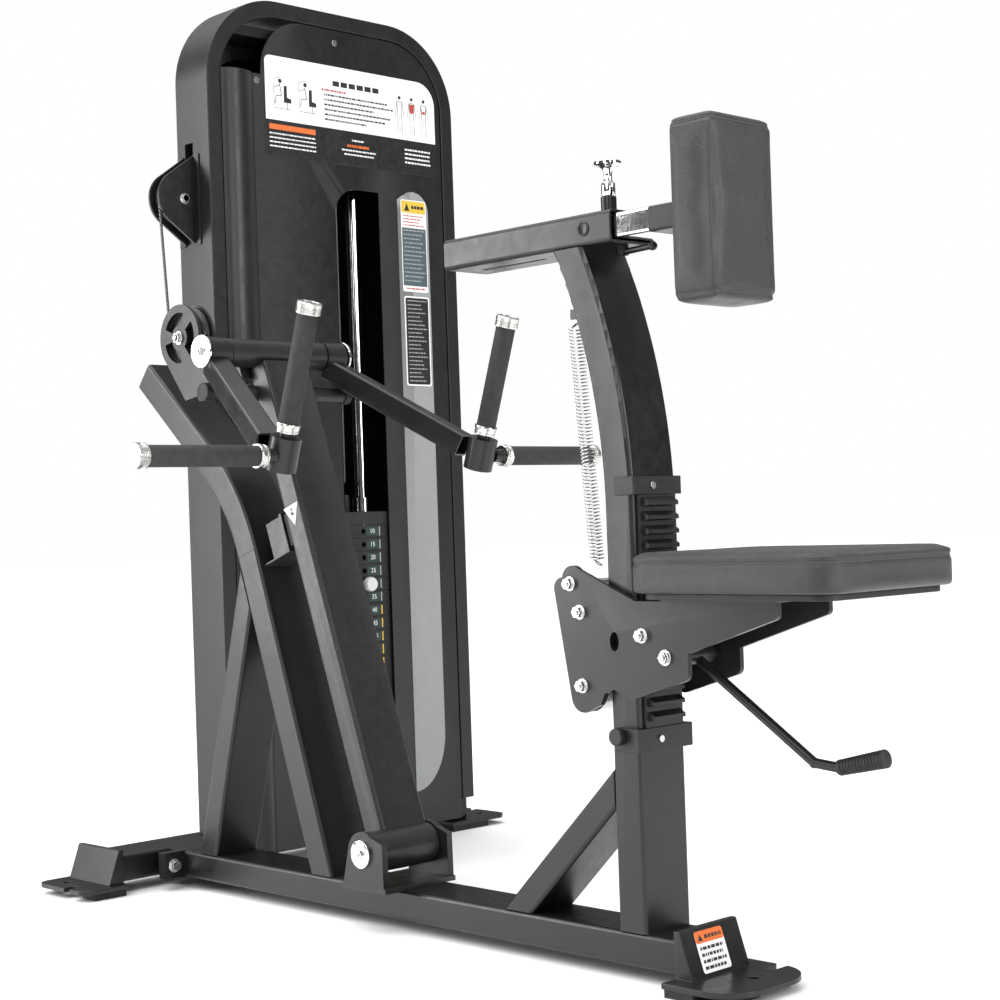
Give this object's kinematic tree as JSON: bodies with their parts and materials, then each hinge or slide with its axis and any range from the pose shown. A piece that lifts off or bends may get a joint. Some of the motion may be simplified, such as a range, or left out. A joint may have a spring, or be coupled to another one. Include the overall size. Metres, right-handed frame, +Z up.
{
  "type": "seated cable row",
  "caption": "Seated vertical row machine: a shrouded weight stack pulled by a cable from a hinged lever with twin grips, with a rack-adjusted seat and a sliding chest pad.",
  "frame": {"origin": "middle of the footprint's bounding box, on the floor", "axes": "+X from the tower to the seat, +Y to the side that the tower stands on, +Z up"},
  "size_m": [1.651, 1.243, 1.617],
  "materials": {
    "frame_paint": "satin",
    "shroud_paint": "fine texture",
    "lever_paint": "satin",
    "plate_iron": "powder coated",
    "chrome": "polished",
    "zinc": "satin",
    "aluminium": "turned",
    "rubber": "matt",
    "grip_rubber": "ribbed",
    "plastic": "moulded",
    "pulley_nylon": "moulded",
    "vinyl": "grained",
    "board": "moulded",
    "strip_plastic": "brushed",
    "placard_sheet": "printed",
    "cable_steel": "braided"
  },
  "bodies": {
    "frame": {"main_beam": "frame_paint", "rear_crossbeam": "frame_paint", "left_foot": "frame_paint", "right_foot": "frame_paint", "front_foot": "frame_paint", "foot_pads": "rubber", "rear_column": "frame_paint", "rear_leg": "frame_paint", "seat_post": "frame_paint", "post_brace": "frame_paint", "pad_sleeve": "frame_paint", "pivot_clevis": "frame_paint", "pivot_shaft": "chrome", "stop_bracket": "frame_paint", "stop_bumper": "rubber", "tower_frame": "shroud_paint", "front_shroud": "shroud_paint", "rear_shroud": "shroud_paint", "side_strip": "strip_plastic", "placard": "placard_sheet", "guide_rods": "chrome", "lower_plates": "plate_iron", "stack_cushions": "rubber", "top_beam": "frame_paint", "side_bracket": "frame_paint", "gear_rack": "plastic", "rack_clamps": "plastic", "frame_bolts": "zinc", "cable_run": "cable_steel", "seat_spring": "zinc", "cable_stack": "cable_steel", "cable_lever": "cable_steel"},
    "lever": {"lever_arm": "lever_paint", "lever_hub": "lever_paint", "pulley_yoke": "lever_paint", "stop_tube": "lever_paint", "stop_rubbers": "rubber"},
    "lever_wheel": {"lever_pulley": "pulley_nylon"},
    "side_wheel": {"side_pulley": "pulley_nylon"},
    "top_wheel": {"top_pulley": "pulley_nylon"},
    "handles": {"handle_shaft": "lever_paint", "handle_arms": "lever_paint", "handle_caps": "chrome", "hand_grips": "grip_rubber", "grip_collars": "aluminium"},
    "carriage": {"carriage_plates": "lever_paint", "carriage_bolts": "zinc", "seat_bracket": "lever_paint", "seat_board": "board", "seat_cushion": "vinyl"},
    "release": {"release_lever": "lever_paint", "release_grip": "rubber"},
    "pad": {"pad_tube": "chrome", "chest_board": "board", "chest_cushion": "vinyl"},
    "locking_pin": {"pop_pin": "chrome"},
    "clamp": {"clamp_lever": "lever_paint"},
    "stack": {"top_plate": "plate_iron", "lifted_plates": "plate_iron"},
    "selector": {"selector_pin": "plastic"}
  },
  "joints": [
    {"name": "lever_swing", "type": "hinge", "parent": "frame", "child": "lever", "pos_m": [-0.1079, -0.1495, 0.122], "axis": [0, 1, 0], "range_deg": [0, 35], "deforming": ["cable_lever"]},
    {"name": "handle_tilt", "type": "hinge", "parent": "lever", "child": "handles", "pos_m": [-0.40059, -0.1495, 0.91906], "axis": [0, 1, 0], "range_deg": [-45, 0]},
    {"name": "lever_pulley_spin", "type": "hinge", "parent": "lever", "child": "lever_wheel", "pos_m": [-0.58422, -0.1955, 0.96176], "axis": [0, 1, 0], "continuous": true},
    {"name": "side_pulley_spin", "type": "hinge", "parent": "frame", "child": "side_wheel", "pos_m": [-0.7325, -0.1015, 1.234], "axis": [1, 0, 0], "range_deg": [0, 560]},
    {"name": "top_pulley_spin", "type": "hinge", "parent": "frame", "child": "top_wheel", "pos_m": [-0.7325, 0.2245, 1.5], "axis": [1, 0, 0], "range_deg": [0, 560]},
    {"name": "stack_lift", "type": "slide", "parent": "frame", "child": "stack", "axis": [0, 0, 1], "range_m": [0, 0.411], "deforming": ["cable_stack"]},
    {"name": "selector_pull", "type": "slide", "parent": "stack", "child": "selector", "axis": [1, 0, 0], "range_m": [0, 0.068]},
    {"name": "seat_height", "type": "slide", "parent": "frame", "child": "carriage", "axis": [0, 0, 1], "range_m": [0, 0.135], "deforming": ["seat_spring"]},
    {"name": "seat_release", "type": "hinge", "parent": "carriage", "child": "release", "pos_m": [0.4965, -0.1495, 0.44], "axis": [0, 1, 0], "range_deg": [-18, 0], "stiffness_Nm_per_rad": 2, "springref_deg": 17.19},
    {"name": "pad_slide", "type": "slide", "parent": "frame", "child": "pad", "axis": [1, 0, 0], "range_m": [-0.06, 0.1]},
    {"name": "clamp_turn", "type": "hinge", "parent": "frame", "child": "clamp", "pos_m": [0.3935, -0.1495, 0.99], "axis": [0, 0, 1], "range_deg": [-60, 60]},
    {"name": "locking_pin_pull", "type": "slide", "parent": "frame", "child": "locking_pin", "axis": [0, 0, 1], "range_m": [0, 0.012], "stiffness_N_per_m": 600, "springref_m": -0.01}
  ],
  "couplings": [
    {"joint": "stack_lift", "follows": "lever_swing", "m_per_rad": 0.67118},
    {"joint": "side_pulley_spin", "follows": "lever_swing", "ratio": 15.755},
    {"joint": "top_pulley_spin", "follows": "lever_swing", "ratio": 15.755}
  ]
}
